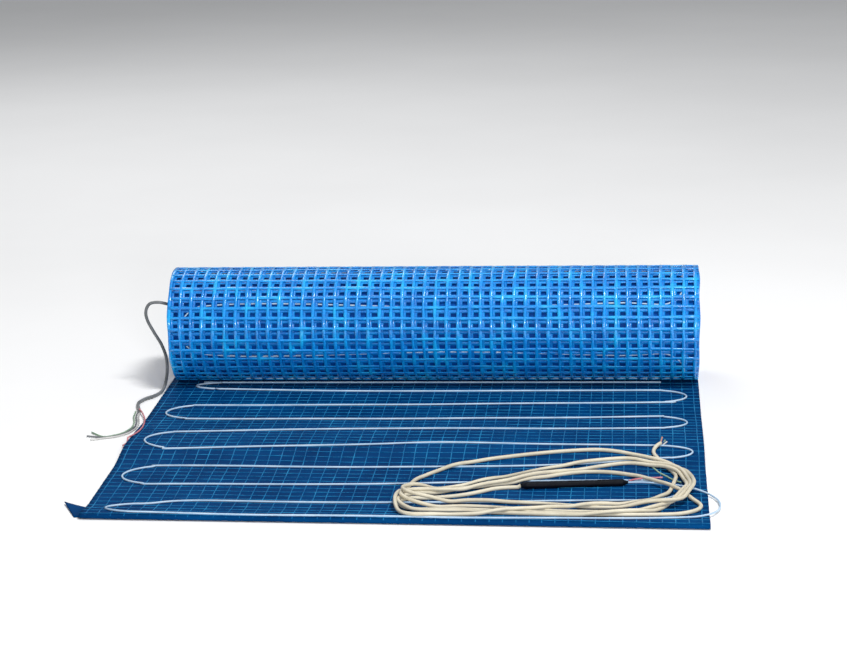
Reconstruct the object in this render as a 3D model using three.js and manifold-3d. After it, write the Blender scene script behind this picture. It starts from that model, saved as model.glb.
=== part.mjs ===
// Underfloor heating mat: a blue mesh mat, partly unrolled, with its thin heating cable laid
// in runs, the cold lead in a loose coil on its front corner, and a second lead at its left.
// Millimetres. X runs along the roll, +Y away from the viewer, +Z up. The origin is in the
// middle of the laid part's underside, on the floor.
import * as THREE from "three";
import { mergeVertices } from "three/addons/utils/BufferGeometryUtils.js";
import Module from "manifold-3d";

const wasm = await Module();
wasm.setup();

// The mat
const MAT_WIDTH = 500;
const SHEET_THICKNESS = 1.0;
const LAID_LENGTH = 427; // from the roll's contact line to the middle of the front edge
const FRONT_SKEW = 19; // how much further forward the front edge lies at its right end
const HEM_DEPTH = 38; // the front margin folded under
const HEM_HEIGHT = 4.2;
const HEM_NOSE = 5;
const FLAP_REACH = 20; // the folded layer shows past the left edge
const FLAP_DEPTH = 33;

// The roll
const ROLL_DIAMETER = 108;
const ROLL_BORE = 28;
const ROLL_INSET = 2; // the roll is this much shorter than the mat is wide, at each end
const ROLL_SHIFT = 3; // the turns wandered to the right
const TURN_PITCH = 3.3;
const TURN_GROOVE = 5; // depth of the groove between two turns on the roll's ends
const ROLL_SIDES = 36;

// The cables
const REST_GAP = 0.3; // round things lie this far from what carries them
const CABLE_DIAMETER = 1.6;
const LEFT_TURN_MARGINS = [27, 15, 15, 13, 18]; // turn tops to the mat's edge, from the roll
const RIGHT_TURN_MARGINS = [12, 13, 10, 22];
const TURN_STEPS = 8;
const LEAD_DIAMETER = 3.2;
const SLEEVE_DIAMETER = 6;
const SLEEVE_TAPER = 4;
const SECOND_LEAD_DIAMETER = 3.0;
const WIRE_DIAMETER = 1.4;
const COIL_LAYERS = 2;
const CORD_SIDES = 8;
const SLEEVE_SIDES = 12;

const FRONT_Y = -LAID_LENGTH / 2;
const ROLL_Y = LAID_LENGTH / 2;
const ROLL_LENGTH = MAT_WIDTH - 2 * ROLL_INSET;
const ROLL_RADIUS = ROLL_DIAMETER / 2;
const LEFT_EDGE = -MAT_WIDTH / 2;
const RIGHT_EDGE = MAT_WIDTH / 2;
const CABLE_RADIUS = CABLE_DIAMETER / 2;
const LEAD_RADIUS = LEAD_DIAMETER / 2;
const COIL_UNDERSIDE = SHEET_THICKNESS + 2 * (REST_GAP + CABLE_DIAMETER) + REST_GAP;
const COIL_HEIGHT = COIL_LAYERS * LEAD_DIAMETER;
const SLEEVE_Z = SHEET_THICKNESS + REST_GAP + SLEEVE_DIAMETER / 2;
const OVER_CABLE = SHEET_THICKNESS + 2 * REST_GAP + CABLE_DIAMETER + CABLE_RADIUS; // a crossing

// Solids
function toManifold(geometry) {
  const bare = geometry.clone();
  bare.deleteAttribute("normal");
  bare.deleteAttribute("uv");
  const merged = mergeVertices(bare, 1e-4);
  return new wasm.Manifold(
    new wasm.Mesh({
      numProp: 3,
      vertProperties: new Float32Array(merged.attributes.position.array),
      triVerts: new Uint32Array(merged.index.array),
    }),
  );
}

function fromManifold(solid) {
  const mesh = solid.getMesh();
  const geometry = new THREE.BufferGeometry();
  geometry.setAttribute("position", new THREE.BufferAttribute(mesh.vertProperties, 3));
  geometry.setIndex(new THREE.BufferAttribute(mesh.triVerts, 1));
  geometry.computeVertexNormals();
  return geometry;
}

// Height of the mat's upper face: level, and rising over the folded front margin
function frontEdgeY(x) {
  return FRONT_Y - (FRONT_SKEW * x) / MAT_WIDTH;
}

function sheetTop(x, y) {
  const behindFront = y - frontEdgeY(x);
  const rise = (HEM_DEPTH - behindFront) / (HEM_DEPTH - HEM_NOSE);
  return SHEET_THICKNESS + (HEM_HEIGHT - SHEET_THICKNESS) * Math.min(Math.max(rise, 0), 1);
}

// The roll, turned: a ring whose ends are grooved between its turns
function rollGeometry() {
  const corner = ROLL_RADIUS / Math.cos(Math.PI / ROLL_SIDES);
  const half = ROLL_LENGTH / 2;
  const turns = Math.round((ROLL_RADIUS - ROLL_BORE / 2) / TURN_PITCH);
  const radii = [];
  for (let turn = 0; turn <= turns; turn += 1) {
    radii.push(ROLL_BORE / 2 + ((corner - ROLL_BORE / 2) * turn) / turns);
  }
  const end = [];
  radii.forEach((radius, turn) => {
    const outline = turn === 0 || turn === turns;
    end.push([radius, outline ? half - TURN_GROOVE / 2 : half - TURN_GROOVE]);
    if (turn < turns) {
      end.push([(radius + radii[turn + 1]) / 2, half]);
    }
  });
  const profile = end.map(([r, h]) => new THREE.Vector2(r, -h));
  profile.push(...end.reverse().map(([r, h]) => new THREE.Vector2(r, h)));
  profile.push(profile[0].clone());
  const ring = new THREE.LatheGeometry(profile, ROLL_SIDES, Math.PI / ROLL_SIDES);
  ring.rotateZ(-Math.PI / 2);
  ring.translate(ROLL_SHIFT, ROLL_Y, ROLL_RADIUS);
  return ring;
}

// The laid part: its side profile drawn across the mat, then skewed along the front edge
function sheetGeometry() {
  const side = new THREE.Shape();
  side.moveTo(ROLL_Y, 0);
  side.lineTo(ROLL_Y, SHEET_THICKNESS);
  side.lineTo(FRONT_Y + HEM_DEPTH, SHEET_THICKNESS);
  side.lineTo(FRONT_Y + HEM_NOSE, HEM_HEIGHT);
  side.quadraticCurveTo(FRONT_Y, HEM_HEIGHT, FRONT_Y, HEM_HEIGHT / 2);
  side.quadraticCurveTo(FRONT_Y, 0, FRONT_Y + HEM_NOSE / 2, 0);
  side.closePath();
  const sheet = new THREE.ExtrudeGeometry(side, {
    depth: MAT_WIDTH,
    bevelEnabled: false,
    curveSegments: 4,
  });
  const across = new THREE.Matrix4().makeBasis(
    new THREE.Vector3(0, 1, 0),
    new THREE.Vector3(0, 0, 1),
    new THREE.Vector3(1, 0, 0),
  );
  sheet.applyMatrix4(across);
  sheet.translate(LEFT_EDGE, 0, 0);
  const position = sheet.attributes.position;
  for (let i = 0; i < position.count; i += 1) {
    if (position.getY(i) < FRONT_Y + HEM_DEPTH + REST_GAP) {
      position.setY(i, position.getY(i) - (FRONT_SKEW * position.getX(i)) / MAT_WIDTH);
    }
  }
  return sheet;
}

// The folded layer's corner, which shows past the mat's left edge
function flapGeometry() {
  const inside = 4;
  const cornerY = frontEdgeY(LEFT_EDGE) + HEM_NOSE;
  const corner = new THREE.Shape();
  corner.moveTo(LEFT_EDGE + inside, cornerY + HEM_DEPTH - FLAP_DEPTH / 2);
  corner.lineTo(LEFT_EDGE - FLAP_REACH, cornerY + FLAP_DEPTH);
  corner.lineTo(LEFT_EDGE - HEM_NOSE, cornerY);
  corner.lineTo(LEFT_EDGE + inside, cornerY);
  corner.closePath();
  return new THREE.ExtrudeGeometry(corner, { depth: SHEET_THICKNESS, bevelEnabled: false });
}

function matGeometry() {
  const solid = toManifold(rollGeometry())
    .add(toManifold(sheetGeometry()))
    .add(toManifold(flapGeometry()));
  return fromManifold(solid);
}

// A route that a tube follows from point to point
class Route extends THREE.Curve {
  constructor(points) {
    super();
    this.points = points;
  }

  getPointAt(u, target = new THREE.Vector3()) {
    return target.copy(this.points[Math.round(u * (this.points.length - 1))]);
  }

  getTangentAt(u, target = new THREE.Vector3()) {
    const last = this.points.length - 1;
    const at = Math.round(u * last);
    const before = this.points[Math.max(at - 1, 0)];
    const after = this.points[Math.min(at + 1, last)];
    return target.subVectors(after, before).normalize();
  }
}

function tubeGeometry(points, diameter, sides = CORD_SIDES) {
  const section = new THREE.Shape();
  for (let side = 0; side < sides; side += 1) {
    const angle = (2 * Math.PI * (side + 0.5)) / sides;
    const x = (Math.cos(angle) * diameter) / 2;
    const y = (Math.sin(angle) * diameter) / 2;
    if (side === 0) {
      section.moveTo(x, y);
    } else {
      section.lineTo(x, y);
    }
  }
  section.closePath();
  return new THREE.ExtrudeGeometry(section, {
    steps: points.length - 1,
    extrudePath: new Route(points),
    bevelEnabled: false,
  });
}

function smooth(points, step) {
  const curve = new THREE.CatmullRomCurve3(points.map((p) => new THREE.Vector3(...p)));
  return curve.getSpacedPoints(Math.ceil(curve.getLength() / step));
}

// The heating cable's runs, from the roll to the front edge, each from the side where it
// starts; the turns between them reach to a margin from the mat's edge. A point's first value
// is its way in from the left edge, or with a minus from the right edge; its second is its
// way back from the front edge
const CABLE_RUNS = [
  [[-35, 404.5], [65, 404.5]],
  [[60, 381.5], [185, 374.5], [-140, 375.5], [-45, 376.5]],
  [[-45, 335.5], [190, 327.5], [50, 326.5]],
  [[50, 281.5], [196, 280.5], [-160, 283.5], [-45, 290.5]],
  [[-45, 246.5], [-160, 243.5], [200, 242.5], [50, 232.5]],
  [[50, 193.5], [204, 207.5], [-227, 213.5], [-136, 209.5], [-45, 201.5]],
  [[-38, 161.5], [-130, 147.5], [211, 141.5], [50, 143.5]],
  [[50, 93.5], [216, 95.5], [-210, 100.5], [-150, 104.5], [-52, 106.5]],
  [[-52, 56.5], [-130, 53.5], [222, 47.5], [91, 51.5], [50, 43.5]],
  [[50, 13.5], [150, 7.5], [-250, 4.5], [-189, 2.5], [-120, 2.5], [-62, 4.5], [-26, 8.5]],
];
const FIRST_RUN = CABLE_RUNS[0][0][1];
const COIL_ZONE = 213; // the runs this near the front edge keep their place under the coil
const RUN_CLEARANCE = 3.4; // between the first run and the roll

function placeOnRun([inward, back]) {
  return [(inward > 0 ? LEFT_EDGE : RIGHT_EDGE) + inward, runY(back)];
}

// Behind the coil the runs share out the length that is left in front of the roll
function runY(back) {
  const cableTop = SHEET_THICKNESS + 2 * REST_GAP + CABLE_DIAMETER;
  const wedge = Math.sqrt(cableTop * (ROLL_DIAMETER - cableTop));
  const firstY = ROLL_Y - wedge - CABLE_RADIUS - RUN_CLEARANCE;
  const spread = (firstY - FRONT_Y - COIL_ZONE) / (FIRST_RUN - COIL_ZONE);
  return FRONT_Y + Math.min(back, COIL_ZONE) + Math.max(back - COIL_ZONE, 0) * spread;
}

// What lies at the front right corner is placed from that corner, and what lies at the roll's
// left end from the mat's left edge where it meets the roll
function fromCorner(points) {
  return points.map(([x, y, ...z]) => [RIGHT_EDGE + x, FRONT_Y + y, ...z]);
}

function fromRollEnd(points) {
  return points.map(([x, y, ...z]) => [LEFT_EDGE + x, ROLL_Y + y, ...z]);
}

// From the last run round the mat's front corner and back to the joint sleeve
const CABLE_RETURN = [
  [-12, 11.5, 3.9],
  [-3, 17.5, 3.3],
  [4, 25.5, 2.7],
  [8, 35.5, 2.3],
  [9, 45.5, 2.1],
  [8, 56.5, 2.1],
  [4, 67.5, 2.1],
  [-2, 76.5, 2.4],
  [-10, 82.5, 3.4],
  [-18, 86.5, OVER_CABLE],
  [-26, 90.5, OVER_CABLE],
  [-35, 93.5, OVER_CABLE],
  [-45, 95.5, 4.2],
  [-54, 96.5, SLEEVE_Z],
];
const [SLEEVE_RIGHT, SLEEVE_LEFT] = fromCorner([
  [-64, 96],
  [-151, 87],
]);

function cablePoints() {
  const points = [];
  const push = (x, y) => {
    const z = sheetTop(x, y) + REST_GAP + CABLE_RADIUS;
    points.push(new THREE.Vector3(x, y, z));
  };
  CABLE_RUNS.forEach((run, index) => {
    run.forEach((point) => push(...placeOnRun(point)));
    if (index === CABLE_RUNS.length - 1) {
      return;
    }
    const [fromX, fromY] = placeOnRun(run[run.length - 1]);
    const [toX, toY] = placeOnRun(CABLE_RUNS[index + 1][0]);
    const toLeft = index % 2 === 0;
    const margin = toLeft ? LEFT_TURN_MARGINS[index / 2] : RIGHT_TURN_MARGINS[(index - 1) / 2];
    const top = toLeft ? LEFT_EDGE + margin : RIGHT_EDGE - margin;
    for (let step = 1; step < TURN_STEPS; step += 1) {
      const angle = (Math.PI * step) / TURN_STEPS;
      const base = THREE.MathUtils.lerp(fromX, toX, step / TURN_STEPS);
      const y = (fromY + toY) / 2 + ((fromY - toY) / 2) * Math.cos(angle);
      push(base + (top - base) * Math.sin(angle), y);
    }
  });
  fromCorner(CABLE_RETURN).forEach((place) => points.push(new THREE.Vector3(...place)));
  points.push(sleeveEnd(SLEEVE_RIGHT, SLEEVE_LEFT));
  return points;
}

// A point on the sleeve's axis, one gap outside the end named first
function sleeveEnd([x, y], [otherX, otherY]) {
  const length = Math.hypot(x - otherX, y - otherY);
  const beyond = REST_GAP / length;
  return new THREE.Vector3(x + (x - otherX) * beyond, y + (y - otherY) * beyond, SLEEVE_Z);
}

function sleeveGeometry() {
  const [leftX, leftY] = SLEEVE_LEFT;
  const [rightX, rightY] = SLEEVE_RIGHT;
  const length = Math.hypot(rightX - leftX, rightY - leftY);
  const radius = SLEEVE_DIAMETER / 2;
  const leftMouth = LEAD_RADIUS + REST_GAP;
  const rightMouth = CABLE_RADIUS + REST_GAP;
  const profile = [
    [0, 0],
    [leftMouth, 0],
    [radius, SLEEVE_TAPER],
    [radius, length - SLEEVE_TAPER],
    [rightMouth, length],
    [0, length],
  ].map(([r, h]) => new THREE.Vector2(r, h));
  const sleeve = new THREE.LatheGeometry(profile, SLEEVE_SIDES);
  sleeve.rotateZ(-Math.PI / 2);
  sleeve.rotateZ(Math.atan2(rightY - leftY, rightX - leftX));
  sleeve.translate(leftX, leftY, SLEEVE_Z);
  return sleeve;
}

// The cold lead's loose coil: its outer shape, open in the middle where the sleeve lies
const COIL_OUTSIDE = [
  [-249, 50.5],
  [-246, 80.5],
  [-232, 115.5],
  [-202, 146.5],
  [-160, 168.5],
  [-110, 182.5],
  [-70, 182.5],
  [-40, 166.5],
  [-20, 140.5],
  [-12, 112.5],
  [-12, 82.5],
  [-10, 51.5],
  [-13, 27.5],
  [-28, 15.5],
  [-62, 13.5],
  [-121, 13.5],
  [-180, 13.5],
  [-224, 14.5],
  [-242, 25.5],
];
const COIL_INSIDE = [
  [-190, 61.5],
  [-178, 85.5],
  [-151, 107.5],
  [-117, 121.5],
  [-93, 123.5],
  [-66, 118.5],
  [-46, 105.5],
  [-37, 85.5],
  [-42, 65.5],
  [-66, 53.5],
  [-122, 47.5],
  [-168, 47.5],
];

function closedOutline(points, divisions) {
  const flat = fromCorner(points).map(([x, y]) => new THREE.Vector3(x, y, 0));
  const curve = new THREE.CatmullRomCurve3(flat, true);
  return curve.getSpacedPoints(divisions).slice(0, -1).map((p) => new THREE.Vector2(p.x, p.y));
}

const OUTSIDE_DIVISIONS = 44;
const INSIDE_DIVISIONS = 32;

// Where a stretch of lead leaves the coil square to its outline: one gap off, then straight
function leaveCoil(points, divisions, [x, y, z]) {
  const outline = closedOutline(points, divisions);
  const target = new THREE.Vector2(x, y);
  const distances = outline.map((p) => p.distanceTo(target));
  const at = distances.indexOf(Math.min(...distances));
  const before = outline[(at + divisions - 1) % divisions];
  const after = outline[(at + 1) % divisions];
  const normal = new THREE.Vector2(after.y - before.y, before.x - after.x).normalize();
  if (normal.dot(target.clone().sub(outline[at])) < 0) {
    normal.negate();
  }
  const start = outline[at].clone().addScaledVector(normal, REST_GAP);
  const onward = outline[at].clone().addScaledVector(normal, LEAD_DIAMETER);
  return [
    [start.x, start.y, z],
    [onward.x, onward.y, z],
  ];
}

function coilGeometry() {
  const ring = new THREE.Shape(closedOutline(COIL_OUTSIDE, OUTSIDE_DIVISIONS));
  ring.holes.push(new THREE.Path(closedOutline(COIL_INSIDE, INSIDE_DIVISIONS).reverse()));
  const coil = new THREE.ExtrudeGeometry(ring, { depth: COIL_HEIGHT, bevelEnabled: false });
  coil.translate(0, 0, COIL_UNDERSIDE);
  return coil;
}

// The stretches of the leads that aren't coiled, and their wires
const LEAD_TO_SLEEVE = fromCorner([
  [-181, 76, 7],
  [-175, 81, 5.2],
  [-167, 84.5, 4.4],
  [-159, 86.2, 4.3],
]);
const LEAD_TO_END = fromCorner([
  [-45.5, 179, 8.6],
  [-41, 183, 7.4],
  [-37, 187, 6.2],
]);
const LEAD_WIRES = {
  cold_lead_wire_white: [[-35.8, 188.3, 6.6], [-34, 192, 7.2], [-31.5, 195, 8.4]],
  cold_lead_wire_brown: [[-37, 187.7, 7.6], [-36.5, 192.5, 9.4], [-35.5, 196.5, 12]],
  cold_lead_wire_green: [[-36.6, 188.6, 5], [-35.4, 196.5, 5.4], [-33, 205.5, 6.4]],
};
const SECOND_LEAD = [
  [4.7, -16.5, 76],
  [-1, -17.5, 78],
  [-9, -19.5, 80],
  [-17, -20.5, 78.5],
  [-20.5, -21.5, 71],
  [-19, -21.5, 62],
  [-13, -21.5, 50],
  [-7, -21.5, 39],
  [-3, -22.5, 27],
  [-2.2, -24.5, 15],
  [-2.6, -30.5, 6.5],
  [-2.8, -40.5, 2.4],
  [-3, -55.5, 1.9],
  [-7, -68.5, 1.9],
  [-14, -79.5, 1.9],
  [-17, -91.5, 1.9],
  [-15, -103.5, 1.9],
  [-11.5, -115.5, 1.9],
];
const SECOND_LEAD_WIRES = {
  second_lead_wire_red: [
    [-11.2, -116.3, 3.2],
    [-7, -125.5, 2.8],
    [-1, -143.5, 2.4],
    [2.5, -163.5, 2.4],
    [4, -183.5, 2.4],
    [2.5, -201.5, 2.4],
    [-4, -225.5, 2.2],
  ],
};
// The other wires lie side by side on the floor and fan out at their ends
const BUNDLE_SPACING = 2.2;
const BUNDLE_Z = REST_GAP + WIRE_DIAMETER / 2;
const BUNDLE = [
  [-10.2, -116.3],
  [-8.6, -133.5],
  [-4.6, -151.5],
  [-3.8, -168.5],
  [-8, -184.5],
  [-16, -194.5],
  [-26, -199.5],
];
const BUNDLE_ENDS = {
  second_lead_wire_white: [-37, -205.5],
  second_lead_wire_grey: [-43, -193.5],
  second_lead_wire_green: [-41, -182.5],
};

function besideBundle(distance) {
  return BUNDLE.map(([x, y], index) => {
    const [beforeX, beforeY] = BUNDLE[Math.max(index - 1, 0)];
    const [afterX, afterY] = BUNDLE[Math.min(index + 1, BUNDLE.length - 1)];
    const length = Math.hypot(afterX - beforeX, afterY - beforeY);
    const sideX = (afterY - beforeY) / length;
    const sideY = (beforeX - afterX) / length;
    return [x + sideX * distance, y + sideY * distance, BUNDLE_Z];
  });
}

Object.entries(BUNDLE_ENDS).forEach(([name, [x, y]], index) => {
  const beside = besideBundle(index * BUNDLE_SPACING);
  SECOND_LEAD_WIRES[name] = [...beside, [x, y, BUNDLE_Z]];
});

const JOINT_WIRES = {
  joint_wire_red: [
    [-63.2, 98.7, 4.8],
    [-59, 102, 4.8],
    [-54, 106, 4.4],
    [-49, 110.5, 3.8],
    [-43, 114, 2.4],
    [-36, 116, 2.1],
  ],
  joint_wire_green: [
    [-44, 143.5, 2.1],
    [-41, 135.5, 2.1],
    [-38, 127.5, 2.1],
    [-33, 119.5, 2.1],
    [-28, 110.5, 2.1],
    [-21, 102.5, 2.1],
  ],
};

const material = (color, roughness, metalness = 0) =>
  new THREE.MeshStandardMaterial({ color, roughness, metalness });

const group = new THREE.Group();

function addMesh(name, geometry, look) {
  const mesh = new THREE.Mesh(geometry, look);
  mesh.name = name;
  group.add(mesh);
}

addMesh("mesh_mat", matGeometry(), material(0x0a5ab0, 0.5));
addMesh("heating_cable", tubeGeometry(cablePoints(), CABLE_DIAMETER), material(0xb9cfe6, 0.4));
addMesh("joint_sleeve", sleeveGeometry(), material(0x14161c, 0.45));
addMesh("cold_lead_coil", coilGeometry(), material(0xe3dcc6, 0.5));
const sleeveStart = leaveCoil(COIL_INSIDE, INSIDE_DIVISIONS, LEAD_TO_SLEEVE[0]);
const toSleeve = smooth([...sleeveStart, ...LEAD_TO_SLEEVE], LEAD_DIAMETER);
toSleeve.push(sleeveEnd(SLEEVE_LEFT, SLEEVE_RIGHT));
addMesh("cold_lead_to_sleeve", tubeGeometry(toSleeve, LEAD_DIAMETER), material(0xe3dcc6, 0.5));
const endStart = leaveCoil(COIL_OUTSIDE, OUTSIDE_DIVISIONS, LEAD_TO_END[0]);
const toEnd = smooth([...endStart, ...LEAD_TO_END], LEAD_DIAMETER);
addMesh("cold_lead_to_end", tubeGeometry(toEnd, LEAD_DIAMETER), material(0xe3dcc6, 0.5));
const secondLead = smooth(fromRollEnd(SECOND_LEAD), 2 * SECOND_LEAD_DIAMETER);
addMesh("second_lead", tubeGeometry(secondLead, SECOND_LEAD_DIAMETER), material(0x8c9292, 0.5));

const WIRE_COLOURS = { red: 0xb06068, white: 0xe8e8e4, grey: 0x9a9ea0, green: 0x9fb59a };
WIRE_COLOURS.brown = 0x9b6a58;
const addWires = (wires, place) => {
  for (const [name, points] of Object.entries(wires)) {
    const colour = WIRE_COLOURS[name.slice(name.lastIndexOf("_") + 1)];
    const wire = tubeGeometry(smooth(place(points), 3 * WIRE_DIAMETER), WIRE_DIAMETER);
    addMesh(name, wire, material(colour, 0.5));
  }
};
addWires(LEAD_WIRES, fromCorner);
addWires(SECOND_LEAD_WIRES, fromRollEnd);
addWires(JOINT_WIRES, fromCorner);

export default group;
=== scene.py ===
import math

import bpy
import numpy as np
from mathutils import Matrix, Vector


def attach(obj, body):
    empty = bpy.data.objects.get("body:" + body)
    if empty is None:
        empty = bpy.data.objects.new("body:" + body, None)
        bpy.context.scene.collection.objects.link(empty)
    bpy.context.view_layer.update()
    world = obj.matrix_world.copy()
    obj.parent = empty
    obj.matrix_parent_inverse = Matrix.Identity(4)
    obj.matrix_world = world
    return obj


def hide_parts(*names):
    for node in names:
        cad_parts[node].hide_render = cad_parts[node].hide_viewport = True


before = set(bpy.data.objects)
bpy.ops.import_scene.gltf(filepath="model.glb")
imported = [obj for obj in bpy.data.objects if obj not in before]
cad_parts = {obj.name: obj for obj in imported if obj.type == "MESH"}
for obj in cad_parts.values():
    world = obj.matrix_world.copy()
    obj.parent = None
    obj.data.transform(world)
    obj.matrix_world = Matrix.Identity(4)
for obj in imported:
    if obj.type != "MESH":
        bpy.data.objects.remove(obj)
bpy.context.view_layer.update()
MM = 0.001

# Photograph
PHOTO_SIZE = (847, 654)
FOCAL_PIXELS = 2433.6
CAMERA_AT = (197.64, -2011.99, 624.21)
CAMERA_YAW = -5.2985
CAMERA_PITCH = 14.4068
CAMERA_ROLL = -1.4787

# The mat
MAT_WIDTH = 500
LAID_LENGTH = 427
SHEET = 1.0
FRONT_SKEW = 19
HEM_DEPTH = 38
HEM_HEIGHT = 4.2
HEM_NOSE = 5
FLAP_REACH = 20
FLAP_DEPTH = 33
HUMP_HEIGHT = 5.0
HUMP_TOP_Y = -22
HUMP_FRONT = 50
HUMP_BACK = 115
COLUMN_PITCH = 10.4
ROW_PITCH = 10.0
THREAD_WIDTH = 1.0
THREAD_HEIGHT = 0.5
RIPPLE_HEIGHT = 0.22
RIPPLE_RIM = 40
RIPPLE_BACK = 60

# The roll
ROLL_RADIUS = 54
ROLL_BORE = 28
ROLL_LEFT = -245
ROLL_RIGHT = 251
TURN_PITCH = 3.3
TURN_THICKNESS = 0.9

# The cables
REST_GAP = 0.3
CABLE_GAP = 0.2
CABLE_RADIUS = 0.8
LEAD_RADIUS = 1.6
SLEEVE_RADIUS = 3.0
SECOND_LEAD_RADIUS = 1.5
WIRE_RADIUS = 0.7

FRONT_Y = -LAID_LENGTH / 2
ROLL_Y = LAID_LENGTH / 2
LEFT_EDGE = -MAT_WIDTH / 2
RIGHT_EDGE = MAT_WIDTH / 2


# Shapes of the mat
def smoothstep(t):
    t = np.clip(t, 0, 1)
    return t * t * (3 - 2 * t)


def front_edge(x):
    return FRONT_Y - FRONT_SKEW * x / MAT_WIDTH


def ripple(x, y):
    """Small unevenness of the laid mat, none at its sides or near the roll."""
    long_waves = np.sin(x / 61.0 + 1.3) * np.sin(y / 43.0 + 0.4)
    short_waves = 0.6 * np.sin(x / 27.0 - y / 71.0)
    deepest = 1.6
    inside = smoothstep((RIGHT_EDGE - np.abs(x)) / RIPPLE_RIM)
    before_roll = smoothstep((ROLL_Y - RIPPLE_RIM - y) / RIPPLE_BACK)
    return RIPPLE_HEIGHT * (long_waves + short_waves + deepest) * inside * before_roll


def mat_top(x, y):
    """Height of the laid film's upper face, in millimetres."""
    x = np.asarray(x, float)
    y = np.asarray(y, float)
    behind = y - front_edge(x)
    rise = (HEM_HEIGHT - SHEET) * smoothstep((HEM_DEPTH - behind) / (HEM_DEPTH - HEM_NOSE))
    ahead = smoothstep((y - (HUMP_TOP_Y - HUMP_FRONT)) / HUMP_FRONT)
    back = smoothstep((HUMP_TOP_Y + HUMP_BACK - y) / HUMP_BACK)
    hump = HUMP_HEIGHT * np.minimum(ahead, back)
    return SHEET + rise + hump + ripple(x, y)


# Camera
def place_camera():
    yaw, pitch, roll = (math.radians(a) for a in (CAMERA_YAW, CAMERA_PITCH, CAMERA_ROLL))
    ahead = Vector(
        (math.sin(yaw) * math.cos(pitch), math.cos(yaw) * math.cos(pitch), -math.sin(pitch))
    )
    level = Vector((math.cos(yaw), -math.sin(yaw), 0))
    above = level.cross(ahead)
    right = math.cos(roll) * level + math.sin(roll) * above
    up = -math.sin(roll) * level + math.cos(roll) * above
    data = bpy.data.cameras.new("camera")
    data.sensor_fit = "HORIZONTAL"
    data.sensor_width = 36
    data.lens = data.sensor_width * FOCAL_PIXELS / PHOTO_SIZE[0]
    data.clip_end = 50
    camera = bpy.data.objects.new("camera", data)
    bpy.context.scene.collection.objects.link(camera)
    turn = Matrix((right, up, -ahead)).transposed().to_4x4()
    camera.matrix_world = Matrix.Translation(Vector(CAMERA_AT) * MM) @ turn
    bpy.context.scene.camera = camera


place_camera()


# Routes
ROUTE_STEP = 2.5
CABLE_STEP = 3
WIRE_STEP = 2
JOINT_WIRE_STEP = 1.5
SHORT_WIRE_STEP = 1


def catmull(points, step):
    """Evenly spaced points, step millimetres apart, on a smooth curve through the points."""
    p = np.asarray(points, float)
    ends = np.vstack([2 * p[0] - p[1], p, 2 * p[-1] - p[-2]])
    out = []
    for i in range(1, len(ends) - 2):
        a, b, c, d = ends[i - 1 : i + 3]
        count = max(2, int(2 * np.linalg.norm(c - b) / step))
        for t in np.linspace(0, 1, count, endpoint=False):
            out.append(
                0.5 * (2 * b + (c - a) * t + (2 * a - 5 * b + 4 * c - d) * t**2
                       + (3 * b - a - 3 * c + d) * t**3)
            )
    out.append(ends[-2])
    out = np.array(out)
    along = np.concatenate([[0], np.cumsum(np.linalg.norm(np.diff(out, axis=0), axis=1))])
    wanted = np.linspace(0, along[-1], max(2, int(round(along[-1] / step)) + 1))
    return np.column_stack([np.interp(wanted, along, out[:, k]) for k in range(out.shape[1])])


CABLE_RUNS = [
    [(215, 191), (-185, 191)],
    [(-190, 168), (-65, 161), (110, 162), (205, 163)],
    [(205, 122), (-60, 114), (-200, 113)],
    [(-200, 68), (-54, 67), (90, 70), (205, 77)],
    [(205, 33), (90, 30), (-50, 29), (-200, 19)],
    [(-200, -34), (-46, -24), (23, -18), (114, -22), (205, -26)],
    [(212, -52), (120, -66), (-39, -72), (-200, -70)],
    [(-200, -120), (-34, -118), (40, -113), (100, -109), (198, -107)],
    [(198, -157), (120, -160), (-28, -166), (-159, -162), (-200, -170)],
    [(-200, -200), (-100, -206), (0, -209), (61, -211), (130, -211), (188, -209), (224, -205)],
]
LEFT_TURN_MARGINS = [27, 15, 15, 13, 18]
RIGHT_TURN_MARGINS = [12, 13, 10, 22]
TURN_STEPS = 8
CABLE_RETURN = [
    (238, -202, 3.9), (247, -196, 3.3), (254, -188, 2.7), (258, -178, 2.3), (259, -168, 2.1),
    (258, -157, 2.1), (254, -146, 2.1), (248, -137, 2.4), (240, -131, 3.4), (232, -127, 4.0),
    (224, -123, 4.0), (215, -120, 4.0), (205, -118, 4.2), (196, -117, 4.3),
]
SLEEVE_LEFT = (99, -126.5)
SLEEVE_RIGHT = (186, -117.5)
SLEEVE_Z = SHEET + REST_GAP + SLEEVE_RADIUS


def cable_route():
    """The heating cable's centre line from under the roll to the sleeve."""
    flat = []
    for index, run in enumerate(CABLE_RUNS):
        flat += run
        if index == len(CABLE_RUNS) - 1:
            break
        (from_x, from_y), (to_x, to_y) = run[-1], CABLE_RUNS[index + 1][0]
        if index % 2 == 0:
            top = LEFT_EDGE + LEFT_TURN_MARGINS[index // 2]
        else:
            top = RIGHT_EDGE - RIGHT_TURN_MARGINS[(index - 1) // 2]
        for step in range(1, TURN_STEPS):
            angle = math.pi * step / TURN_STEPS
            base = from_x + (to_x - from_x) * step / TURN_STEPS
            y = (from_y + to_y) / 2 + (from_y - to_y) / 2 * math.cos(angle)
            flat.append((base + (top - base) * math.sin(angle), y))
    smooth = catmull(flat, CABLE_STEP)
    heights = mat_top(smooth[:, 0], smooth[:, 1]) + CABLE_GAP + CABLE_RADIUS
    laid = np.column_stack([smooth, heights])
    back = CABLE_RETURN + [(*SLEEVE_RIGHT, SLEEVE_Z)]
    return np.vstack([laid, catmull([laid[-1]] + back, CABLE_STEP)[1:]])


CABLE_ROUTE = cable_route()


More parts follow.
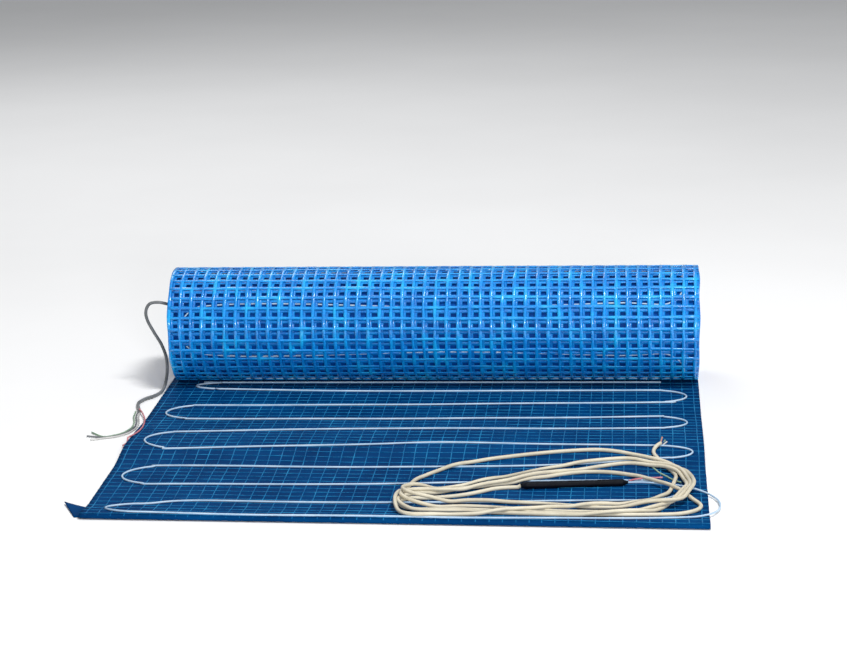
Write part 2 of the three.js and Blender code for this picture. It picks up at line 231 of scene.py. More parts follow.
# Cold lead: drawn in plan from the sleeve, round its turns, to its stripped end
LEAD_FROM_SLEEVE = [
    (99, -126.5), (91, -127), (83, -128.5), (75, -132), (68, -137.5), (57, -145), (44, -151),
    (30, -154.5), (19, -156.5), (10, -160.5),
]
LEAD_TO_END = [
    (225, -100), (222, -84), (216, -70), (210, -57), (207, -44), (209.5, -33), (213, -26.5),
]
# Stations round the coil from its left tip, by the front: the outermost place, the innermost
# place, and how far in each turn lies there
COIL_STATIONS = [
    ((1, -178), (7, -160), (0.38, 0.3, 0.6, 0.85, 0.0)),
    ((15, -208), (23, -158), (0.45, 0.38, 0.55, 0.72, 0.0)),
    ((54, -204), (57, -158), (0.42, 0.3, 0.62, 0.86, 0.0)),
    ((92, -202), (92, -164), (0.3, 0.14, 0.56, 0.98, 0.15)),
    ((129, -203), (129, -171), (0.2, 0.05, 0.45, 1.0, 0.58)),
    ((165, -203), (165, -173), (0.12, 0.04, 0.45, 0.84, 0.95)),
    ((200, -199), (198, -166), (0.04, 0.22, 0.45, 0.68, 1.0)),
    ((230, -191), (213, -151), (0.0, 0.6, 0.52, 0.44, 1.0)),
    ((243, -167), (221, -134), (0.0, 0.62, 0.52, 0.42, 1.0)),
    ((239, -126), (210, -120), (1.0, 0.2, 0.1, 0.0)),
    ((230, -86), (186, -94), (1.0, 0.15, 0.08, 0.0)),
    ((200, -54), (157, -86), (1.0, 0.3, 0.15, 0.0)),
    ((169, -38.5), (130, -93), (1.0, 0.9, 0.46, 0.0)),
    ((137, -39), (99, -112), (1.0, 1.0, 0.52, 0.0)),
    ((92, -48.5), (70, -125), (0.97, 1.0, 0.76, 0.0)),
    ((55, -62), (46, -138), (0.92, 1.0, 0.82, 0.0)),
    ((22, -91), (26, -150), (0.94, 0.92, 0.76, 0.0)),
    ((6.5, -132), (12, -158), (0.95, 0.85, 0.7, 0.0)),
]


def coil_plan():
    """The cold lead's turns in plan, each between the coil's outermost and innermost places."""
    plan = []
    turns = len(COIL_STATIONS[0][2])
    for turn in range(turns):
        for (outer_x, outer_y), (inner_x, inner_y), shares in COIL_STATIONS:
            if turn < len(shares):
                share = shares[turn]
                plan.append(
                    (outer_x + (inner_x - outer_x) * share, outer_y + (inner_y - outer_y) * share)
                )
    return plan


DROP_AFTER_HUMP = 0.012
# The coil's last stations, where the lead's far end runs under the other turns
END_UNDER = 3
CLEARANCE = 0.05
# Points laid down at a time, and the last points that don't yet count as lying below
LAID_AT_ONCE = 16
TOO_RECENT = 10
# The sleeve as a row of points, less the few round the lead's own mouth
SLEEVE_SAMPLES = 40
MOUTH_SAMPLES = 3
SMOOTHING_PASSES = 6


def needed_heights(plan, laid_before):
    """The lowest centre heights that clear the mat and every cord laid before."""
    need = mat_top(plan[:, 0], plan[:, 1]) + LEAD_RADIUS + CLEARANCE
    for points, other in laid_before:
        across = plan[:, None, :2] - points[None, :, :2]
        gap = np.hypot(across[..., 0], across[..., 1])
        reach = LEAD_RADIUS + other
        over = points[None, :, 2] + np.sqrt(np.clip(reach**2 - gap**2, 0, None))
        need = np.maximum(need, np.where(gap < reach, over, 0).max(axis=1))
    return need


def eased(plan, need):
    """The cord's own stiffness: it comes down gently on both sides of each high point."""
    steps = np.linalg.norm(np.diff(plan[:, :2], axis=0), axis=1)
    along = np.concatenate([[0], np.cumsum(steps)])
    apart = along[:, None] - along[None, :]
    return (need[None, :] - DROP_AFTER_HUMP * apart**2).max(axis=1)


def settled(plan, laid_before):
    """Lay a cord down piece by piece, each piece over what lies there already."""
    done = np.zeros((0, 3))
    for start in range(0, len(plan), LAID_AT_ONCE):
        part = plan[start : start + LAID_AT_ONCE]
        before = done[: max(0, len(done) - TOO_RECENT)]
        around = laid_before + ([(before, LEAD_RADIUS)] if len(before) else [])
        heights = eased(part, needed_heights(part, around))
        done = np.vstack([done, np.column_stack([part, heights])])
    return done


def cold_lead_route():
    """The lead's far end is laid first, then its turns over it."""
    turns = coil_plan()
    plan = catmull(LEAD_FROM_SLEEVE + turns + LEAD_TO_END, ROUTE_STEP)
    under_x, under_y = turns[-END_UNDER]
    from_last = np.hypot(plan[:, 0] - under_x, plan[:, 1] - under_y)
    cut = len(plan) - 1 - int(np.argmin(from_last[::-1]))
    share = np.linspace(0, 1, SLEEVE_SAMPLES)[MOUTH_SAMPLES:, None]
    left, right = np.array(SLEEVE_LEFT), np.array(SLEEVE_RIGHT)
    sleeve = np.column_stack([left + (right - left) * share, np.full(len(share), SLEEVE_Z)])
    lying = [(CABLE_ROUTE, CABLE_RADIUS), (sleeve, SLEEVE_RADIUS)]
    low = settled(plan[cut:], lying)
    high = settled(plan[:cut], lying + [(low, LEAD_RADIUS)])
    route = np.vstack([high, low])
    route[:, 2] = eased(route, route[:, 2])
    for _ in range(SMOOTHING_PASSES):
        route[1:-1, 2] = (route[:-2, 2] + 2 * route[1:-1, 2] + route[2:, 2]) / 4
    route[0] = (*SLEEVE_LEFT, SLEEVE_Z)
    return route


COLD_LEAD_ROUTE = cold_lead_route()
SECOND_LEAD = [
    (-245.3, 197, 76), (-251, 196, 78), (-259, 194, 80), (-267, 193, 78.5), (-270.5, 192, 71),
    (-269, 192, 62), (-263, 192, 50), (-257, 192, 39), (-253, 191, 27), (-252.2, 189, 15),
    (-252.6, 183, 6.5), (-252.8, 173, 2.4), (-253, 158, 1.9), (-257, 145, 1.9),
    (-264, 134, 1.9), (-267, 122, 1.9), (-265, 110, 1.9), (-261.5, 98, 1.9),
]
RED_WIRE = [
    (-261.2, 97.2, 3.2), (-257, 88, 2.8), (-251, 70, 2.4), (-247.5, 50, 2.4),
    (-246, 30, 2.4), (-247.5, 12, 2.4), (-254, -12, 2.2),
]
BUNDLE = [
    (-260.2, 97.2), (-258.6, 80), (-254.6, 62), (-253.8, 45), (-258, 29), (-266, 19), (-276, 14),
]
BUNDLE_SPACING = 2.2
BUNDLE_Z = REST_GAP + WIRE_RADIUS
BUNDLE_ENDS = {"white": (-287, 8), "grey": (-293, 20), "green": (-291, 31)}
JOINT_WIRES = {
    "red": [(186.8, -114.8, 4.8), (191, -111.5, 4.8), (196, -107.5, 4.4), (201, -103, 3.8),
            (207, -99.5, 2.4), (214, -97.5, 2.1)],
    "green": [(206, -70, 2.1), (209, -78, 2.1), (212, -86, 2.1), (217, -94, 2.1),
              (222, -103, 2.1), (229, -111, 2.1)],
}
LEAD_WIRES = {
    "white": [(214.2, -25.2, 6.6), (216, -21.5, 7.2), (218.5, -18.5, 8.4)],
    "brown": [(213, -25.8, 7.6), (213.5, -21, 9.4), (214.5, -17, 12)],
    "green": [(213.4, -24.9, 5), (214.6, -17, 5.4), (217, -8, 6.4)],
}


def beside_bundle(distance):
    """The bundle's line moved sideways, for one of its wires."""
    points = []
    for index, (x, y) in enumerate(BUNDLE):
        before = BUNDLE[max(index - 1, 0)]
        after = BUNDLE[min(index + 1, len(BUNDLE) - 1)]
        length = math.hypot(after[0] - before[0], after[1] - before[1])
        side = ((after[1] - before[1]) / length, (before[0] - after[0]) / length)
        points.append((x + side[0] * distance, y + side[1] * distance, BUNDLE_Z))
    return points


# Node materials, and where a mix node keeps its colours
COLOUR_A = 6
COLOUR_B = 7
COLOUR_RESULT = 2


class Nodes:
    """A small helper for building one material's node tree."""

    def __init__(self, name):
        self.material = bpy.data.materials.new(name)
        self.material.use_nodes = True
        self.tree = self.material.node_tree
        self.shader = self.tree.nodes["Principled BSDF"]
        self.place = self.add("ShaderNodeTexCoord").outputs["Object"]

    def add(self, kind, **values):
        node = self.tree.nodes.new(kind)
        for name, value in values.items():
            if hasattr(node, name):
                setattr(node, name, value)
            else:
                node.inputs[name].default_value = value
        return node

    def link(self, source, target):
        self.tree.links.new(source, target)

    def noise(self, scale, detail=3.0):
        node = self.add("ShaderNodeTexNoise", Scale=scale, Detail=detail, Roughness=0.55)
        self.link(self.place, node.inputs["Vector"])
        return node.outputs["Fac"]

    def ramp(self, source, stops):
        node = self.add("ShaderNodeValToRGB")
        elements = node.color_ramp.elements
        while len(elements) < len(stops):
            elements.new(0.5)
        for element, (position, colour) in zip(elements, stops):
            element.position = position
            element.color = (*colour, 1)
        self.link(source, node.inputs["Fac"])
        return node.outputs["Color"]

    def mix(self, factor, a, b):
        node = self.add("ShaderNodeMix", data_type="RGBA")
        self.link(factor, node.inputs["Factor"])
        self.link(a, node.inputs[COLOUR_A])
        self.link(b, node.inputs[COLOUR_B])
        return node.outputs[COLOUR_RESULT]

    def span(self, source, low, high):
        node = self.add("ShaderNodeMapRange")
        node.inputs["To Min"].default_value = low
        node.inputs["To Max"].default_value = high
        self.link(source, node.inputs["Value"])
        return node.outputs["Result"]

    def bump(self, source, strength, distance):
        node = self.add("ShaderNodeBump")
        node.inputs["Strength"].default_value = strength
        node.inputs["Distance"].default_value = distance
        self.link(source, node.inputs["Height"])
        self.link(node.outputs["Normal"], self.shader.inputs["Normal"])

    def colour(self, source):
        self.link(source, self.shader.inputs["Base Color"])

    def rough(self, source, low, high):
        self.link(self.span(source, low, high), self.shader.inputs["Roughness"])


def thread_material(name, dark, mid, light, gloss, coat):
    """Resin-coated glass-fibre thread: fibre streaks, patchy colour and a glossy coat."""
    n = Nodes(name)
    patches = n.noise(55.0, 2.0)
    fibres = n.noise(900.0, 3.0)
    base = n.ramp(patches, [(0.3, dark), (0.5, mid), (0.72, light)])
    streaks = n.ramp(fibres, [(0.35, dark), (0.65, light)])
    n.colour(n.mix(n.span(fibres, 0.1, 0.5), base, streaks))
    n.rough(n.noise(240.0), 0.22, 0.5)
    n.bump(fibres, 0.8, 0.0005)
    n.shader.inputs["Specular IOR Level"].default_value = gloss
    n.shader.inputs["Coat Weight"].default_value = coat
    n.shader.inputs["Coat Roughness"].default_value = 0.14
    return n.material


def film_material(name, dark, mid, light, gloss):
    """Thin blue film: cloudy colour, faint creases whose dips are painted darker as shade, and a
    soft gloss.
    """
    n = Nodes(name)
    clouds = n.noise(16.0, 4.0)
    crinkle = n.noise(140.0, 4.0)
    base = n.ramp(clouds, [(0.3, dark), (0.52, mid), (0.75, light)])
    # Painted shade: the film darkens in the dips of the crinkle that also drives its bump.
    painted_crease_shade = n.ramp(crinkle, [(0.4, dark), (0.7, mid)])
    n.colour(n.mix(n.span(crinkle, 0.1, 0.5), base, painted_crease_shade))
    n.rough(crinkle, 0.5, 0.8)
    n.bump(crinkle, 0.35, 0.0008)
    n.shader.inputs["Specular IOR Level"].default_value = gloss
    return n.material


def sheath_material(name, dark, light, gloss=0.35, grime=None, shine=0.25):
    """Extruded cable sheath: slight colour drift, fine scuffs and a satin gloss."""
    n = Nodes(name)
    drift = n.noise(45.0, 3.0)
    scuffs = n.noise(700.0, 4.0)
    base = n.ramp(drift, [(0.35, dark), (0.68, light)])
    marks = n.ramp(scuffs, [(0.3, grime or dark), (0.5, light)])
    n.colour(n.mix(n.span(scuffs, 0.05, 0.3), base, marks))
    n.rough(scuffs, gloss - 0.08, gloss + 0.2)
    n.bump(scuffs, 0.15, 0.0003)
    n.shader.inputs["Specular IOR Level"].default_value = shine
    return n.material


MATERIALS = {
    # Laid threads: the same thread colour as on the roll, painted darker as shade, since the laid
    # part gets less light.
    "laid_thread_shaded": thread_material(
        "laid_thread_shaded", (0.0, 0.050, 0.17), (0.004, 0.115, 0.30), (0.02, 0.25, 0.50), 0.05, 0.0
    ),
    # Roll threads: the lit copy of the same thread colour, painted lighter than the laid threads;
    # its lightest patches are painted glints.
    "roll_thread_lit": thread_material(
        "roll_thread_lit", (0.0, 0.15, 0.58), (0.0, 0.25, 0.76), (0.01, 0.48, 0.92), 0.25, 0.9
    ),
    # The roll's second, deeper layer: the same thread colour painted darker again, as the shade
    # between the turns.
    "roll_thread_deep_shaded": thread_material(
        "roll_thread_deep_shaded", (0.0, 0.11, 0.46), (0.0, 0.19, 0.62), (0.0, 0.30, 0.76), 0.3, 0.3
    ),
    # Laid film: the same film colour as on the roll, painted darker as shade, since the laid part
    # gets less light.
    "laid_film_shaded": film_material(
        "laid_film_shaded", (0.0, 0.022, 0.09), (0.0, 0.038, 0.14), (0.0, 0.060, 0.20), 0.02
    ),
    # Roll film: the lit copy of the same film colour, painted lighter than the laid film.
    "roll_film_lit": film_material(
        "roll_film_lit", (0.0, 0.04, 0.24), (0.0, 0.07, 0.36), (0.0, 0.11, 0.48), 0.1
    ),
    # The heating cable's sheath is whitish; here it is painted a darker blue-grey as the shade
    # along its thin runs.
    "cable": sheath_material("cable", (0.30, 0.44, 0.60), (0.48, 0.62, 0.76), 0.35),
    "cold_lead": sheath_material(
        "cold_lead", (0.50, 0.45, 0.34), (0.66, 0.61, 0.48), 0.35, (0.40, 0.34, 0.24)
    ),
    "second_lead": sheath_material("second_lead", (0.10, 0.11, 0.115), (0.19, 0.20, 0.205)),
    "sleeve": sheath_material(
        "sleeve", (0.001, 0.002, 0.004), (0.004, 0.005, 0.010), 0.5, shine=0.1
    ),
    "white": sheath_material("wire_white", (0.42, 0.42, 0.41), (0.66, 0.66, 0.64)),
    "grey": sheath_material("wire_grey", (0.10, 0.11, 0.12), (0.20, 0.21, 0.22)),
    "green": sheath_material("wire_green", (0.16, 0.26, 0.18), (0.30, 0.42, 0.28)),
    "red": sheath_material("wire_red", (0.42, 0.12, 0.15), (0.60, 0.24, 0.26)),
    "brown": sheath_material("wire_brown", (0.30, 0.14, 0.10), (0.50, 0.28, 0.22)),
}


# Mesh builders
def add_mesh(name, vertices, faces, material):
    mesh = bpy.data.meshes.new(name)
    mesh.from_pydata([tuple(v) for v in np.asarray(vertices) * MM], [], faces)
    mesh.materials.append(MATERIALS[material])
    mesh.shade_smooth()
    mesh.update()
    piece = bpy.data.objects.new(name, mesh)
    bpy.context.scene.collection.objects.link(piece)
    return piece


def grid_faces(rows, columns):
    faces = []
    for i in range(rows - 1):
        for j in range(columns - 1):
            a = i * columns + j
            b = a + columns
            faces.append((a, a + 1, b + 1, b))
    return faces


def add_threads(name, threads, material):
    """Threads of flattened round section, joined in one mesh. Each is centres, side
    directions, up directions, width and height."""
    vertices = []
    faces = []
    sides = 6
    angles = 2 * math.pi * (np.arange(sides) + 0.5) / sides
    across = np.cos(angles)[None, :, None]
    above = np.sin(angles)[None, :, None]
    for centres, side, up, width, height in threads:
        start = len(vertices)
        widths = np.asarray(width).reshape(-1, 1, 1)
        rim = (
            centres[:, None, :]
            + across * side[:, None, :] * widths / 2
            + above * up[:, None, :] * height / 2
        )
        vertices.extend(rim.reshape(-1, 3))
        count = len(centres)
        for i in range(count - 1):
            a = start + i * sides
            for j in range(sides):
                k = (j + 1) % sides
                faces.append((a + j, a + k, a + sides + k, a + sides + j))
        last = start + (count - 1) * sides
        faces.append(tuple(start + j for j in reversed(range(sides))))
        faces.append(tuple(last + j for j in range(sides)))
    return add_mesh(name, vertices, faces, material)


def add_cord(name, points, radius, material, resolution=4):
    """A round cord: one open spline whose bevel is the cord's radius."""
    data = bpy.data.curves.new(name, "CURVE")
    data.dimensions = "3D"
    data.bevel_depth = radius * MM
    data.bevel_resolution = resolution
    data.use_fill_caps = True
    spline = data.splines.new("POLY")
    spline.points.add(len(points) - 1)
    for point, place in zip(spline.points, points):
        point.co = (*(np.asarray(place) * MM), 1)
    spline.use_smooth = True
    data.materials.append(MATERIALS[material])
    cord = bpy.data.objects.new(name, data)
    bpy.context.scene.collection.objects.link(cord)
    return cord


# The cords first
cold_lead = add_cord("cold_lead", COLD_LEAD_ROUTE, LEAD_RADIUS, "cold_lead", 5)
second_lead = add_cord(
    "second_lead_sheath", catmull(SECOND_LEAD, ROUTE_STEP), SECOND_LEAD_RADIUS, "second_lead"
)

lead_wires = [
    add_cord(f"lead_wire_{colour}", catmull(points, SHORT_WIRE_STEP), WIRE_RADIUS, colour)
    for colour, points in LEAD_WIRES.items()
]
red_route = catmull(RED_WIRE, WIRE_STEP)
on_mat = red_route[:, 0] > LEFT_EDGE - 2 * WIRE_RADIUS
lifted = mat_top(red_route[:, 0], red_route[:, 1]) + THREAD_HEIGHT / 2 + WIRE_RADIUS
red_route[:, 2] = np.where(on_mat, np.maximum(red_route[:, 2], lifted), red_route[:, 2])
second_wires = [add_cord("second_wire_red", red_route, WIRE_RADIUS, "red")]
for index, (colour, place) in enumerate(BUNDLE_ENDS.items()):
    points = beside_bundle(index * BUNDLE_SPACING) + [(*place, BUNDLE_Z)]
    second_wires.append(
        add_cord(f"second_wire_{colour}", catmull(points, WIRE_STEP), WIRE_RADIUS, colour)
    )

for wire, colour in zip(lead_wires, LEAD_WIRES):
    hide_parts(f"cold_lead_wire_{colour}")
    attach(wire, "root")
for wire, colour in zip(second_wires, ["red", *BUNDLE_ENDS]):
    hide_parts(f"second_lead_wire_{colour}")
    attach(wire, "root")

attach(cold_lead, "root")
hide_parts("cold_lead_coil", "cold_lead_to_sleeve", "cold_lead_to_end")
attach(second_lead, "root")
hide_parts("second_lead")


# The heating cable and the joint
cable = add_cord("laid_cable", CABLE_ROUTE, CABLE_RADIUS, "cable")
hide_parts("heating_cable")
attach(cable, "root")
for colour, points in JOINT_WIRES.items():
    route = catmull(points, JOINT_WIRE_STEP)
    wire = add_cord(f"joint_wire_{colour}_insulation", route, WIRE_RADIUS, colour)
    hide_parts(f"joint_wire_{colour}")
    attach(wire, "root")


def add_sleeve():
    """Shrunk tube: full in the middle, tapered at its mouths, with a lip and slight waves."""
    left, right = np.array(SLEEVE_LEFT), np.array(SLEEVE_RIGHT)
    length = float(np.linalg.norm(right - left))
    ahead = np.array([*(right - left) / length, 0])
    side = np.array([-ahead[1], ahead[0], 0])
    up = np.array([0, 0, 1.0])
    flatness = 0.96
    taper_length = 5
    sides = 28
    stations = np.linspace(0, length, 90)
    vertices = []
    for s in stations:
        mouth = min(s, length - s)
        taper = smoothstep(mouth / taper_length)
        lip = 0.15 * math.exp(-((mouth - 1.2) / 0.8) ** 2)
        wave = 0.06 * math.sin(s * 0.5) + 0.05 * math.sin(s * 1.3 + 1)
        inner = LEAD_RADIUS if s < length / 2 else CABLE_RADIUS
        radius = inner + 0.25 + (SLEEVE_RADIUS - inner - 0.3) * taper + lip + wave * taper
        centre = np.array([*left, SLEEVE_Z]) + ahead * s
        for j in range(sides):
            angle = 2 * math.pi * j / sides
            outward = math.cos(angle) * side + flatness * math.sin(angle) * up
            vertices.append(centre + radius * outward)
    faces = []
    for i in range(len(stations) - 1):
        a, b = i * sides, (i + 1) * sides
        for j in range(sides):
            k = (j + 1) % sides
            faces.append((a + j, a + k, b + k, b + j))
    faces.append(tuple(reversed(range(sides))))
    faces.append(tuple((len(stations) - 1) * sides + j for j in range(sides)))
    return add_mesh("shrink_sleeve", vertices, faces, "sleeve")


sleeve = add_sleeve()
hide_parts("joint_sleeve")
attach(sleeve, "root")


# The laid part: film, then threads
def laid_film_shaded():
    """One closed sheet: its top, the rounded front edge, and its underside."""
    columns = np.linspace(LEFT_EDGE, RIGHT_EDGE, 101)
    backs = np.linspace(HEM_NOSE, LAID_LENGTH, 170)
    nose = [(math.pi * t) for t in np.linspace(0.5, 1.5, 9)]
    half = HEM_HEIGHT / 2
    thickness = 0.8 * SHEET
    set_back = 0.3
    rows = []
    for x in columns:
        line = []
        edge = front_edge(x)
        scale = (ROLL_Y - edge) / LAID_LENGTH
        top = [(edge + back * scale) for back in backs[::-1]]
        for y in top:
            line.append((x, y, float(mat_top(x, y))))
        for angle in nose[1:]:
            y = edge + HEM_NOSE + HEM_NOSE * math.cos(angle)
            line.append((x, y, half + half * math.sin(angle)))
        for y in top[::-1]:
            past_hem = y > edge + HEM_DEPTH
            under = max(0.0, float(mat_top(x, y)) - thickness) if past_hem else 0.0
            line.append((x, y + set_back, under))
        rows.append(line)
    count = len(rows[0])
    vertices = [v for line in rows for v in line]
    faces = grid_faces(len(rows), count)
    for i in range(len(rows) - 1):
        a, b = i * count, (i + 1) * count
        faces.append((a + count - 1, a, b, b + count - 1))
    faces.append(tuple(range(count - 1, -1, -1)))
    faces.append(tuple((len(rows) - 1) * count + j for j in range(count)))
    return add_mesh("mat_film", vertices, faces, "laid_film_shaded")


def wave(place, height, length, start):
    """One sine wave of a thread's slight wander, or of a width."""
    return height * np.sin(place / length + start)


def same(direction, count):
    """One direction, repeated for each point of a thread."""
    return np.tile(direction, (count, 1))


ACROSS = [1.0, 0, 0]
BACK = [0, 1.0, 0]
UP = [0, 0, 1.0]


def laid_threads():
    """Column threads run from roll to front edge, row threads across; they cross over and
    under each other."""
    columns = []
    samples = 96
    edge_margin, roll_margin = 1.2, 2
    lift, weave, nose_gap = 0.12, 0.12, 0.2
    count = int(MAT_WIDTH / COLUMN_PITCH)
    start = LEFT_EDGE + (MAT_WIDTH - (count - 1) * COLUMN_PITCH) / 2
    for index in range(count):
        x0 = start + index * COLUMN_PITCH
        edge = float(front_edge(x0))
        y = np.linspace(edge + edge_margin, ROLL_Y - roll_margin, samples)
        x = x0 + wave(y, 0.5, 90, index * 0.7) + wave(y, 0.18, 17, index * 2.1)
        over = np.cos(math.pi * (y - ROLL_Y) / ROW_PITCH + index * math.pi)
        round_nose = 1 + np.sqrt(np.clip((y - edge) / HEM_NOSE, 0, 1))
        z = mat_top(x, y) + lift + weave * over
        z = np.where(y < edge + HEM_NOSE, HEM_HEIGHT / 2 * round_nose + nose_gap, z)
        centres = np.column_stack([x, y, z])
        widths = np.full(samples, THREAD_WIDTH)
        columns.append((centres, same(ACROSS, samples), same(UP, samples), widths, THREAD_HEIGHT))
    rows = []
    samples = 110
    first_row, free_of_rows = 4, 14
    lift, weave, wider = 0.16, 0.08, 1.1
    for index in range(int((LAID_LENGTH - free_of_rows) / ROW_PITCH)):
        x = np.linspace(LEFT_EDGE, RIGHT_EDGE, samples)
        share = (first_row + index * ROW_PITCH) / LAID_LENGTH
        y0 = front_edge(x) + share * (ROLL_Y - front_edge(x))
        y = y0 + wave(x, 0.35, 70, index * 1.1) + wave(x, 0.15, 13, index)
        z = mat_top(x, y) + lift - weave * np.cos(math.pi * x / COLUMN_PITCH + index * math.pi)
        centres = np.column_stack([x, y, z])
        widths = np.full(samples, THREAD_WIDTH * wider)
        rows.append((centres, same(BACK, samples), same(UP, samples), widths, THREAD_HEIGHT))
    return (
        add_threads("mat_column_threads", columns, "laid_thread_shaded"),
        add_threads("mat_row_threads", rows, "laid_thread_shaded"),
    )


# The roll: its wound turns, then the outer two layers of threads
def roll_point(angle, radius, x):
    """angle runs from the contact line at the bottom, up the front of the roll."""
    return np.stack(
        [x, ROLL_Y - radius * np.sin(angle), ROLL_RADIUS - radius * np.cos(angle)], axis=-1
    )


def out_of_roll(centres, x):
    """Unit directions from the roll's axis to the points."""
    axis = np.column_stack([x, np.full(len(x), ROLL_Y), np.full(len(x), ROLL_RADIUS)])
    outward = centres - axis
    return outward / np.linalg.norm(outward, axis=1, keepdims=True)


def roll_turns():
    """The wound film as a spiral with thickness, its ends a little uneven from turn to turn."""
    inner = ROLL_BORE / 2
    outer = ROLL_RADIUS - 2.6
    turns = (outer - inner) / TURN_PITCH
    steps = int(turns * 56)
    angle = np.linspace(0, 2 * math.pi * turns, steps)
    radius = outer - TURN_PITCH * angle / (2 * math.pi)
    end_inset = 2.2
    left = ROLL_LEFT + end_inset + (1.6 * np.sin(angle * 0.43) + 0.8 * np.sin(angle * 1.7 + 2))
    right = ROLL_RIGHT - end_inset + 1.2 * np.sin(angle * 0.51 + 1)
    stations = 9
    places = [left + (right - left) * k / (stations - 1) for k in range(stations)]
    outside = [roll_point(angle, radius, x) for x in places]
    inside = [roll_point(angle, radius - TURN_THICKNESS, x) for x in reversed(places)]
    loop = np.stack(outside + inside, axis=1)
    count = loop.shape[1]
    faces = []
    for i in range(steps - 1):
        a, b = i * count, (i + 1) * count
        for j in range(count):
            k = (j + 1) % count
            faces.append((a + j, b + j, b + k, a + k))
    faces.append(tuple(range(count)))
    faces.append(tuple((steps - 1) * count + j for j in reversed(range(count))))
    return add_mesh("roll_turns", loop.reshape(-1, 3), faces, "roll_film_lit")


def roll_layer(name, radius, phase, shift, material, width, height):
    """One layer of the wound scrim: ring threads and threads along the roll."""
    threads = []
    samples = 100
    angle = np.linspace(0.10, 2 * math.pi - 0.06, samples)
    first, short_by, weave = 1.8, 6.5, 0.15
    count = int((ROLL_RIGHT - ROLL_LEFT) / COLUMN_PITCH)
    for index in range(count + 1):
        x0 = ROLL_LEFT + first + shift + index * (ROLL_RIGHT - ROLL_LEFT - short_by) / count
        x = x0 + 0.45 * np.sin(angle * 1.3 + index * 0.9) + 0.15 * np.sin(angle * 9 + index)
        r = radius + weave * np.cos(angle * radius * math.pi / ROW_PITCH + index * math.pi)
        centres = roll_point(angle, r, x)
        widths = width * (1 + 0.18 * np.sin(angle * 7 + index * 2.3))
        threads.append((centres, same(ACROSS, samples), out_of_roll(centres, x), widths, height))
    rings = int(2 * math.pi * radius / ROW_PITCH)
    samples = 84
    end_gap, weave, narrower = 1, 0.1, 0.95
    x = np.linspace(ROLL_LEFT + end_gap + shift * 0.5, ROLL_RIGHT - end_gap, samples)
    for index in range(1, rings):
        at = 2 * math.pi * (index + phase) / rings
        turn = at + (wave(x, 0.5, 80, index * 1.7) + wave(x, 0.2, 15, index)) / radius
        r = radius - weave * np.cos(math.pi * x / COLUMN_PITCH + index * math.pi)
        centres = roll_point(turn, r, x)
        up = out_of_roll(centres, x)
        side = np.cross(up, same(ACROSS, samples))
        widths = width * narrower * (1 + wave(x, 0.15, 9, index * 3.1))
        threads.append((centres, side, up, widths, height))
    return add_threads(name, threads, material)


def roll_cable():
    """The heating cable's runs inside the outer turns, seen between the threads."""
    outer = ROLL_RADIUS - 2.2
    run_gap = 47.0
    bend_reach = 22
    bend_steps = 8
    under_film = 0.9
    wound_radius = 0.7
    points = []
    travel = 17.0
    to_right = True
    left_in = ROLL_LEFT + 13 + bend_reach
    right_in = ROLL_RIGHT - 14 - bend_reach
    while travel < 2 * math.pi * outer * 2:
        for along in np.linspace(0, 1, 14)[1:-1]:
            share = along if to_right else 1 - along
            x = left_in + (right_in - left_in) * share
            points.append((x, travel + 2.2 * math.sin(x / 60 + travel)))
        for step in range(bend_steps + 1):
            angle = math.pi * step / bend_steps
            bend = bend_reach * math.sin(angle)
            x = right_in + bend if to_right else left_in - bend
            points.append((x, travel + run_gap / 2 - run_gap / 2 * math.cos(angle)))
        travel += run_gap
        to_right = not to_right
    smooth = catmull(points, 4)
    angle = smooth[:, 1] / outer
    radius = outer + under_film - TURN_PITCH * angle / (2 * math.pi)
    route = roll_point(angle, radius, smooth[:, 0])
    return add_cord("wound_cable", route, wound_radius, "cable", 3)


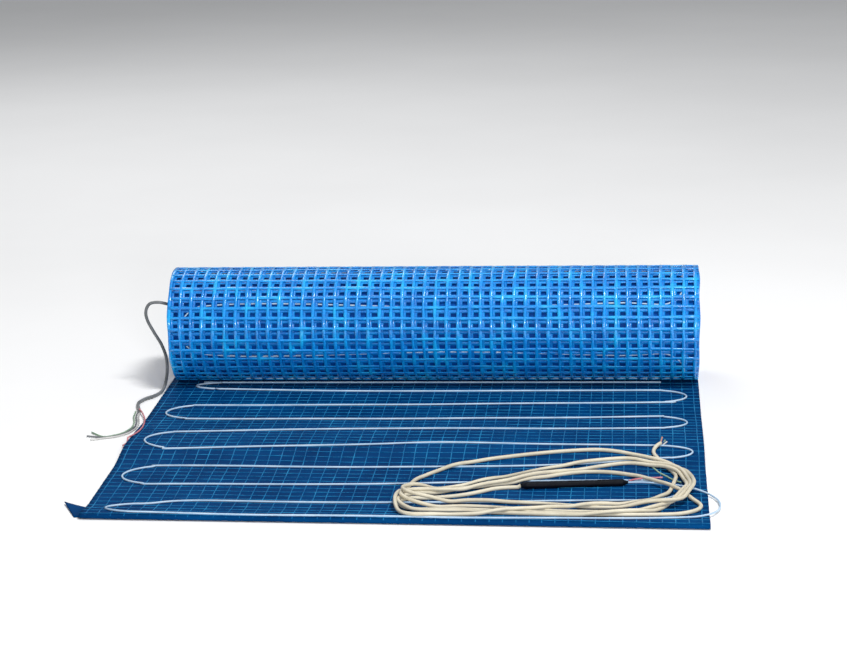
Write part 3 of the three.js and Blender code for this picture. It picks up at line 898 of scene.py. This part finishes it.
def flap():
    """The folded layer's corner, which shows past the left edge."""
    edge = float(front_edge(LEFT_EDGE)) + HEM_NOSE
    tucked_in = LEFT_EDGE + 4
    tip_back, tip_front = (LEFT_EDGE - FLAP_REACH, edge + FLAP_DEPTH), (LEFT_EDGE - HEM_NOSE, edge)
    root_back, root_front = (tucked_in, edge + HEM_DEPTH - FLAP_DEPTH / 2), (tucked_in, edge)
    rows = 9
    top, underside, curl_height = 0.9, 0.05, 1.6
    vertices = []
    for height in (top, underside):
        for i in range(rows):
            t = i / (rows - 1)
            tip = np.array(tip_back) * (1 - t) + np.array(tip_front) * t
            root = np.array(root_back) * (1 - t) + np.array(root_front) * t
            for j in range(rows):
                s = j / (rows - 1)
                place = tip * (1 - s) + root * s
                curl = curl_height * (1 - s) ** 2 * (1 - t)
                vertices.append((*place, height + curl))
    faces = grid_faces(rows, rows)
    layer = rows * rows
    lower = [tuple(v + layer for v in reversed(f)) for f in faces]
    rim = (
        [j for j in range(rows)]
        + [i * rows + rows - 1 for i in range(1, rows)]
        + [(rows - 1) * rows + j for j in range(rows - 2, -1, -1)]
        + [i * rows for i in range(rows - 2, 0, -1)]
    )
    sides = [(b, a, a + layer, b + layer) for a, b in zip(rim, rim[1:] + rim[:1])]
    return add_mesh("folded_corner", vertices, faces + lower + sides, "laid_film_shaded")


OUTER_MESH_RADIUS = ROLL_RADIUS - 0.45
SECOND_MESH_RADIUS = ROLL_RADIUS - 1.6
mat_pieces = [
    laid_film_shaded(),
    *laid_threads(),
    roll_turns(),
    # The outer layer has the lit copy of the thread colour and the second layer the darker copy:
    # painted light and painted shade.
    roll_layer("roll_outer_mesh", OUTER_MESH_RADIUS, 0.0, 0.0, "roll_thread_lit", 3.5, 0.8),
    roll_layer("roll_second_mesh", SECOND_MESH_RADIUS, 0.38, 2.2, "roll_thread_deep_shaded", 4.2, 0.7),
    roll_cable(),
    flap(),
]
for piece in mat_pieces:
    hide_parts("mesh_mat")
    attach(piece, "root")


# Floor and light
def add_floor():
    n = Nodes("pale_floor")
    n.colour(n.ramp(n.noise(2.0), [(0.3, (0.86, 0.86, 0.86)), (0.7, (0.9, 0.9, 0.9))]))
    n.shader.inputs["Roughness"].default_value = 0.85
    MATERIALS["floor"] = n.material
    reach = 4000
    corners = [(-reach, -reach, 0), (reach, -reach, 0), (reach, reach, 0), (-reach, reach, 0)]
    add_mesh("floor", corners, [(0, 1, 2, 3)], "floor")


def add_light(name, place, target, size, power):
    data = bpy.data.lights.new(name, "AREA")
    data.shape = "RECTANGLE"
    data.size, data.size_y = size
    data.energy = power
    lamp = bpy.data.objects.new(name, data)
    lamp.location = place
    aim = Vector(target) - Vector(place)
    lamp.rotation_euler = aim.to_track_quat("-Z", "Y").to_euler()
    bpy.context.scene.collection.objects.link(lamp)


add_floor()
world = bpy.data.worlds.new("studio")
world.use_nodes = True
sky = world.node_tree.nodes["Background"]
sky.inputs["Color"].default_value = (0.95, 0.97, 1.0, 1)
sky.inputs["Strength"].default_value = 0.32
bpy.context.scene.world = world
bpy.context.scene.view_settings.view_transform = "Standard"
add_light("key", (0.7, -0.6, 2.2), (0, 0.0, 0.02), (0.6, 0.5), 46)
add_light("front", (0.6, -2.5, 0.62), (0.05, 0.2, 0.05), (0.5, 0.2), 34)
add_light("back", (-0.8, 1.8, 1.6), (0, 0.1, 0.0), (1.2, 0.8), 12)
